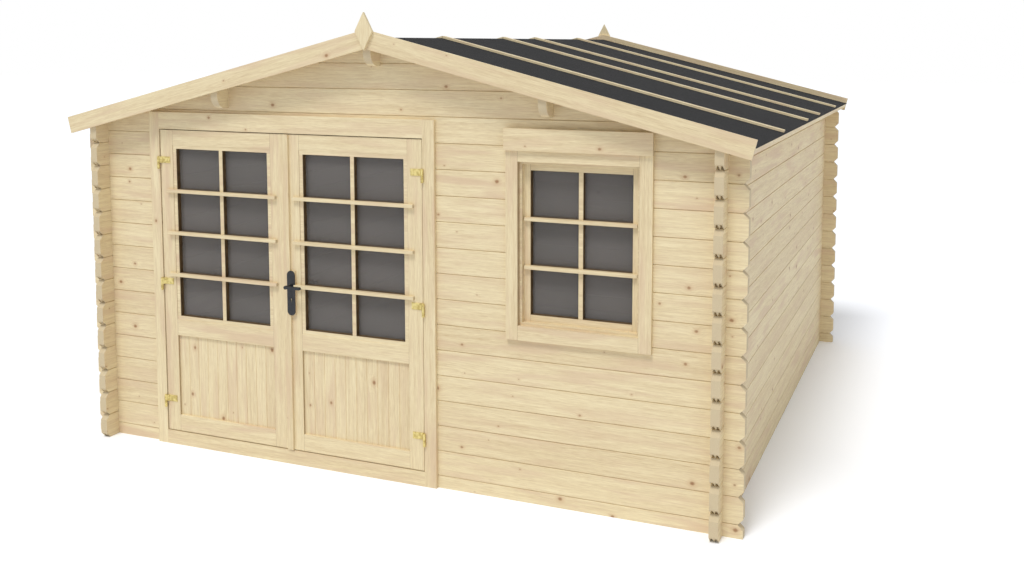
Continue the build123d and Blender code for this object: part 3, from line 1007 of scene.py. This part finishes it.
@dataclass
class LogWalls:
    """The interlocking board walls."""

    palette: Palette
    front_y: float = -1.8225
    side_x: float = 1.8225
    knot_spread: float = 0.1
    knots: float = 0.5

    def build(self) -> None:
        """Dresses every wall with boards that run its own way."""
        front = self._boards("front", Grain.ALONG_X, (0, self.front_y, 0), 0.5, 1.0)
        back = self._boards("back", Grain.ALONG_X, (0, -self.front_y, 0), 0.5, 2.0)
        for node in ("left", "middle", "right", "over_door", "over_window", "under_window"):
            dress(f"front_wall_{node}", front)
        dress("front_gable", front)
        dress("back_wall", back)
        for side in Side:
            middle = (side.value * self.side_x, 0, 0)
            boards = self._boards(f"{side.label}_wall", Grain.ALONG_Y, middle, 0.0, 4.0 + side.value)
            dress(f"{side.label}_wall", boards)

    def _boards(self, name: str, grain: Grain, middle: Point, phase: float,
                seed: float) -> bpy.types.Material:
        """Makes the finish of one wall's boards.

        Args:
            name: The wall's name.
            grain: Which way its boards run.
            middle: The middle of the wall's foot.
            phase: Its share of a course up from the ground.
            seed: Picks the boards.

        Returns:
            The finish.
        """
        return self.palette.spruce(Spruce(
            f"spruce_{name}_boards", grain, middle, BOARD_COVER, phase, seed, self.knot_spread, self.knots))


@dataclass
class Roof:
    """The roof's boards, felt, battens, bargeboards, finials and purlins."""

    palette: Palette
    board: float = 19 * MM
    boards: int = 43
    joint: float = 0.4 * MM
    edge: float = 1.2 * MM
    ends: tuple[str, str] = ("front", "back")

    def build(self) -> None:
        """Dresses the roof's nodes and models its boarding."""
        dress("roof_felt", self.palette.felt)
        for number, side in enumerate(Side):
            for end_number, end in enumerate(self.ends):
                node = f"bargeboard_{end}_{side.label}"
                dress(node, self.palette.spruce(Spruce(
                    f"spruce_{node}", Grain.ALONG_X, middle_of(node), seed=20 + number + 2 * end_number,
                    tilt=-side.value * ROOF_PITCH, knots=0.4)))
            self._boarding(side)
        strips = self.palette.spruce(Spruce("spruce_strips", Grain.ALONG_Y, seed=33.0, knots=0.3))
        dress("eave_strips", strips)
        battens = self.palette.spruce(Spruce("spruce_battens", Grain.ALONG_X, seed=34.0, knots=0.3))
        dress("roof_battens", battens)
        beams = self.palette.spruce(Spruce("spruce_beams", Grain.ALONG_Y, (0, 0, 2.2), seed=35.0))
        for node in ("ridge_purlin", "side_purlins"):
            dress(node, beams)
        for end in self.ends:
            finial = f"finial_{end}"
            dress(finial, self.palette.spruce(Spruce(
                f"spruce_{finial}", Grain.UPRIGHT, middle_of(finial), seed=37.0, knots=0.0)))
            ease_edges([finial, f"bargeboard_{end}_left", f"bargeboard_{end}_right"], self.edge)

    def _boarding(self, side: Side) -> None:
        """Models one slope's boarding out of single boards with eased edges.

        Args:
            side: The slope's side.
        """
        node = f"roof_boards_{side.label}"
        sign = side.value
        low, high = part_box(node)
        eave = max(abs(low.x), high.x)
        length = (eave - self.board * math.sin(ROOF_PITCH)) / math.cos(ROOF_PITCH)
        ridge = high.z - self.board / math.cos(ROOF_PITCH)
        cover = (high.y - low.y) / self.boards
        ends = sorted((-sign * self.board, sign * length))
        width = cover - self.joint
        boarding = block(
            f"roof_boarding_{side.label}", (ends[0], low.y, 0), (ends[1], low.y + width, self.board))
        soften(boarding, self.edge, 1)
        repeat(boarding, self.boards, (0, cover, 0))
        boarding.rotation_euler = (0, sign * ROOF_PITCH, 0)
        boarding.location = (0, 0, ridge)
        bpy.ops.object.transform_apply(location=True, rotation=True, scale=True)
        cut_away(boarding, (0, 0, 0), (-sign, 0, 0))
        boards = self.palette.spruce(Spruce(
            f"spruce_roof_{side.label}", Grain.DECK, (0, low.y, high.z), cover, phase=0.0,
            seed=30.0 + sign, spread=0.05, knots=0.3, tilt=sign * -ROOF_PITCH))
        place(boarding, "shed", "roof_boards", boards, (node,))


@dataclass
class Floor:
    """The boarded floor."""

    palette: Palette
    boards: int = 30
    joint: float = 0.4 * MM
    edge: float = 1.5 * MM

    def build(self) -> None:
        """Models the boarding and dresses the joists."""
        low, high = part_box("floor_boards")
        cover = (high.y - low.y) / self.boards
        boarding = block("floor_boarding", low, (high.x, low.y + cover - self.joint, high.z))
        soften(boarding, self.edge, 1)
        repeat(boarding, self.boards, (0, cover, 0))
        boards = self.palette.spruce(Spruce(
            "spruce_floor", Grain.DECK, (0, low.y, low.z), cover, phase=0.0, seed=40.0, spread=0.08,
            knots=0.5))
        place(boarding, "shed", "floor_boards", boards, ("floor_boards",))
        dress("floor_joists", self.palette.spruce(Spruce("spruce_joists", Grain.ALONG_Y, seed=41.0)))


@dataclass
class DoorFrame:
    """The jambs, head and threshold."""

    palette: Palette

    def build(self) -> None:
        """Dresses the door frame's nodes."""
        for number, (node, grain) in enumerate((
                ("door_jamb_left", Grain.UPRIGHT), ("door_jamb_right", Grain.UPRIGHT),
                ("door_head", Grain.ALONG_X), ("door_threshold", Grain.ALONG_X))):
            dress(node, self.palette.spruce(Spruce(
                f"spruce_{node}", grain, middle_of(node), seed=50 + number, knots=0.35)))


@dataclass
class Bars:
    """A grid of glazing bars over one pane, with brown linings of painted shade behind them and round the
    opening.

    The pane's node is held in its rebate, so the opening that shows is that much smaller.
    """

    palette: Palette
    name: str
    body: str
    glass: str
    face: float
    levels: int
    overlap: float
    material: bpy.types.Material
    width: float = 24 * MM
    height: float = 19 * MM
    proud: float = 20 * MM
    recess: float = 1 * MM
    rebate: float = 8 * MM
    lining: float = 1.5 * MM
    edge: float = 5 * MM
    bar_rounding: float = 2 * MM
    reveal_shade_rounding: float = 0.4 * MM

    def build(self) -> None:
        """Models the bars, the linings of painted shade behind them and the lining round the opening."""
        low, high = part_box(self.glass)
        inset = Vector((self.rebate, 0, self.rebate))
        low, high = low + inset, high - inset
        pane = low.y
        middle = (low.x + high.x) / 2
        half = self.width / 2
        front = self.face - self.proud
        deep = self.face + self.edge
        bars = [block("bar", (middle - half, self.face + self.recess, low.z), (middle + half, deep, high.z))]
        # The brown blocks behind the bars and round the opening are painted shade for the pane's reveals.
        reveal_shades = [block("seal", (middle - half, deep, low.z), (middle + half, pane, high.z))]
        for number in range(1, self.levels + 1):
            z = low.z + (high.z - low.z) * number / (self.levels + 1)
            bottom, top = z - self.height / 2, z + self.height / 2
            ends = (low.x - self.overlap, high.x + self.overlap)
            bars.append(block("bar", (ends[0], front, bottom), (ends[1], self.face, top)))
            bars.append(block("bar", (low.x, self.face + self.recess, bottom), (high.x, deep, top)))
            reveal_shades.append(block("seal", (low.x, deep, bottom), (high.x, pane, top)))
        for x in (low.x, high.x - self.lining):
            reveal_shades.append(block("seal", (x, deep, low.z), (x + self.lining, pane, high.z)))
        for z in (low.z, high.z - self.lining):
            reveal_shades.append(block("seal", (low.x, deep, z), (high.x, pane, z + self.lining)))
        for piece in bars:
            soften(piece, self.bar_rounding)
        for piece in reveal_shades:
            soften(piece, self.reveal_shade_rounding, 1)
        place(join(f"{self.name}_bars", bars), self.body, "spruce_joinery", self.material)
        # Painted shade for the reveals between the bars and the pane.
        place(join(f"{self.name}_pane_seals", reveal_shades), self.body, "window_glass", self.palette.seal)


@dataclass
class DoorLeaf:
    """One leaf of the double door."""

    palette: Palette
    side: Side
    seed: float
    rail_ends: Span
    bar_levels: int = 3
    bar_overlap: float = 60 * MM
    panel_cover: float = 66 * MM

    def build(self) -> None:
        """Dresses the leaf and puts its bars on."""
        body = f"{self.side.label}_door"
        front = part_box(f"{body}_frame")[0].y
        middle = middle_of(f"{body}_frame")
        dress(f"{body}_frame", self.palette.spruce(Spruce(
            f"spruce_{body}", Grain.JOINERY, middle, seed=self.seed, rails=self.rail_ends, knots=0.35)))
        dress(f"{body}_panel", self.palette.spruce(Spruce(
            f"spruce_{body}_panel", Grain.UPRIGHT, middle_of(f"{body}_panel"), cover=self.panel_cover,
            phase=0.0, seed=self.seed + 1, spread=0.04, knots=0.3)))
        dress(f"{body}_glass", self.palette.glass)
        bars = self.palette.spruce(Spruce(
            f"spruce_{body}_bars", Grain.ALONG_X, middle, seed=self.seed + 2, knots=0.1))
        Bars(self.palette, body, body, f"{body}_glass", front, self.bar_levels, self.bar_overlap,
             bars).build()


@dataclass
class LockSide:
    """The meeting strip, lock plates and levers."""

    palette: Palette
    edge: float = 1.2 * MM

    def build(self) -> None:
        """Dresses the lock side's nodes."""
        dress("door_meeting_strip", self.palette.spruce(Spruce(
            "spruce_meeting_strip", Grain.UPRIGHT, middle_of("door_meeting_strip"), seed=70.0, knots=0.2)))
        dress("door_handle_plates", self.palette.black)
        dress("door_lever", self.palette.black)
        ease_edges(["door_meeting_strip", "door_handle_plates", "door_lever"], self.edge)


@dataclass
class Hinges:
    """The brass hinges and the screws in their straps."""

    palette: Palette
    heights: tuple[float, ...] = (0.272, 0.966, 1.669)
    from_edge: tuple[float, ...] = (24 * MM, 50 * MM)
    strap: float = 3 * MM
    head_radius: float = 4.2 * MM
    head_rise: float = 1.2 * MM
    head_sides: int = 20
    recess: float = 0.7 * MM
    recess_rim: float = 2.1 * MM

    def build(self) -> None:
        """Dresses the hinges and adds the screws."""
        dress("door_hinge_pins", self.palette.brass)
        for side in Side:
            dress(f"{side.label}_hinge_straps", self.palette.brass)
            low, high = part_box(f"{side.label}_door_frame")
            edge = low.x if side is Side.LEFT else high.x
            heads = [self._screw((edge - side.value * inset, low.y - self.strap, z))
                     for z in self.heights for inset in self.from_edge]
            screws = join(f"{side.label}_hinge_screws", heads)
            place(screws, f"{side.label}_door", "brass_hinges", self.palette.brass)

    def _screw(self, at: Point) -> bpy.types.Object:
        """Models one screw head with a recess, facing the door's front.

        Args:
            at: The middle of its seat.

        Returns:
            The screw head.
        """
        deselect()
        middle = (at[0], at[1] - self.head_rise / 2, at[2])
        bpy.ops.mesh.primitive_cylinder_add(
            vertices=self.head_sides, radius=self.head_radius, depth=self.head_rise, location=middle,
            rotation=(math.pi / 2, 0, 0))
        head = bpy.context.object
        bpy.ops.object.transform_apply(location=True, rotation=True, scale=True)
        front = min(head.data.polygons, key=lambda face: face.center.y)
        for face in head.data.polygons:
            face.select = face.index == front.index
        bpy.ops.object.mode_set(mode="EDIT")
        bpy.ops.mesh.inset(thickness=self.recess_rim)
        bpy.ops.transform.translate(value=(0, self.recess, 0))
        bpy.ops.object.mode_set(mode="OBJECT")
        return head


@dataclass
class ShedWindow:
    """The fixed window and its casings."""

    palette: Palette
    casing_width: float = 65 * MM
    sash_rail: float = 34 * MM
    bar_levels: int = 2
    bar_overlap: float = 28 * MM

    def build(self) -> None:
        """Dresses the window and puts its bars on."""
        middle = middle_of("window_casing")
        for node, rail, seed, knots in (
                ("window_casing", self.casing_width, 80.0, 0.4), ("window_sash", self.sash_rail, 81.0, 0.2)):
            low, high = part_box(node)
            dress(node, self.palette.spruce(Spruce(
                f"spruce_{node}", Grain.JOINERY, middle, seed=seed, knots=knots,
                rails=(low.x + rail, high.x - rail))))
        dress("window_glass", self.palette.glass)
        dress("window_head", self.palette.spruce(Spruce(
            "spruce_window_head", Grain.ALONG_X, middle_of("window_head"), seed=82.0, knots=0.5)))
        bars = self.palette.spruce(Spruce("spruce_window_bars", Grain.ALONG_X, middle, seed=83.0, knots=0.1))
        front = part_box("window_sash")[0].y
        Bars(self.palette, "window", "shed", "window_glass", front, self.bar_levels, self.bar_overlap,
             bars).build()


@dataclass
class Studio:
    """The pale floor, the light and the camera."""

    floor_half: float = 60.0
    floor_colour: float = 0.93
    floor_seen: float = 1.06
    floor_tint: Point = (0.975, 1.0, 1.05)
    sun_strength: float = 1.64
    sun_towards: Point = (0.07, 0.55, -1.0)
    sun_angle: float = math.radians(17.0)
    sky: float = 0.57
    lens: float = 38.026
    sensor: float = 36.0
    far: float = 200.0
    shift: Span = (-0.0139, -0.14)
    camera_place: Point = (2.8448, -6.7707, 2.3318)
    camera_turn: float = 0.3864
    camera_dip: float = 0.0937

    def build(self) -> None:
        """Makes the floor, the light and the camera."""
        self._floor()
        self._light()
        self._camera()

    def _floor(self) -> None:
        """Adds the white floor that keeps the shadow."""
        deselect()
        bpy.ops.mesh.primitive_plane_add(size=2 * self.floor_half, location=(0, 0, 0))
        floor = bpy.context.object
        floor.name = "studio_floor"
        material, graph, shader = new_material("studio_floor")
        seen = self._seen(graph)
        grey = graph.calc("MULTIPLY_ADD", seen, self.floor_seen - self.floor_colour, self.floor_colour)
        tinted = (graph.calc("MULTIPLY", grey, part) for part in self.floor_tint)
        graph.feed(shader.inputs["Base Color"], graph.join_xyz(*tinted))
        shader.inputs["Roughness"].default_value = 1.0
        shader.inputs["Specular IOR Level"].default_value = 0.0
        finish(floor, material)

    @staticmethod
    def _seen(graph: Graph) -> Socket:
        """Tells rays that the camera sees straight, mirrored or through glass.

        Args:
            graph: The graph of a material or the world.

        Returns:
            1 for such rays and 0 for the others.
        """
        rays = graph.node("LightPath")
        seen = graph.calc("ADD", rays.outputs["Is Camera Ray"], rays.outputs["Is Glossy Ray"])
        return graph.calc("ADD", seen, rays.outputs["Is Transmission Ray"], clamp=True)

    def _light(self) -> None:
        """Adds the soft sky and one broad sun from above the camera."""
        world = bpy.context.scene.world or bpy.data.worlds.new("studio")
        bpy.context.scene.world = world
        world.use_nodes = True
        graph = Graph(world.node_tree)
        background = next(n for n in world.node_tree.nodes if n.type == "BACKGROUND")
        background.inputs["Color"].default_value = (1.0, 1.0, 1.0, 1.0)
        strength = graph.calc("MULTIPLY_ADD", self._seen(graph), 1.0 - self.sky, self.sky)
        graph.feed(background.inputs["Strength"], strength)
        lamp = bpy.data.lights.new("sun", "SUN")
        lamp.energy = self.sun_strength
        lamp.angle = self.sun_angle
        sun = bpy.data.objects.new("sun", lamp)
        sun.rotation_euler = Vector(self.sun_towards).to_track_quat("-Z", "Y").to_euler()
        bpy.context.collection.objects.link(sun)

    def _camera(self) -> None:
        """Puts the camera where the photograph was taken from."""
        data = bpy.data.cameras.new("camera")
        data.sensor_width = self.sensor
        data.lens = self.lens
        data.shift_x, data.shift_y = self.shift
        data.clip_end = self.far
        camera = bpy.data.objects.new("camera", data)
        camera.location = self.camera_place
        camera.rotation_euler = (math.pi / 2 - self.camera_dip, 0.0, self.camera_turn)
        bpy.context.collection.objects.link(camera)
        bpy.context.scene.camera = camera
        bpy.context.scene.view_settings.view_transform = "Standard"


def main() -> None:
    """Builds the looks of the shed in order."""
    logging.basicConfig(level=logging.INFO, format="%(message)s")
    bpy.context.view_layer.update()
    deselect()
    palette = Palette()
    LogWalls(palette).build()
    Roof(palette).build()
    Floor(palette).build()
    DoorFrame(palette).build()
    DoorLeaf(palette, Side.LEFT, 60.0, LEFT_RAIL_ENDS).build()
    DoorLeaf(palette, Side.RIGHT, 64.0, RIGHT_RAIL_ENDS).build()
    LockSide(palette).build()
    Hinges(palette).build()
    ShedWindow(palette).build()
    Studio().build()


if __name__ == "__main__":
    main()
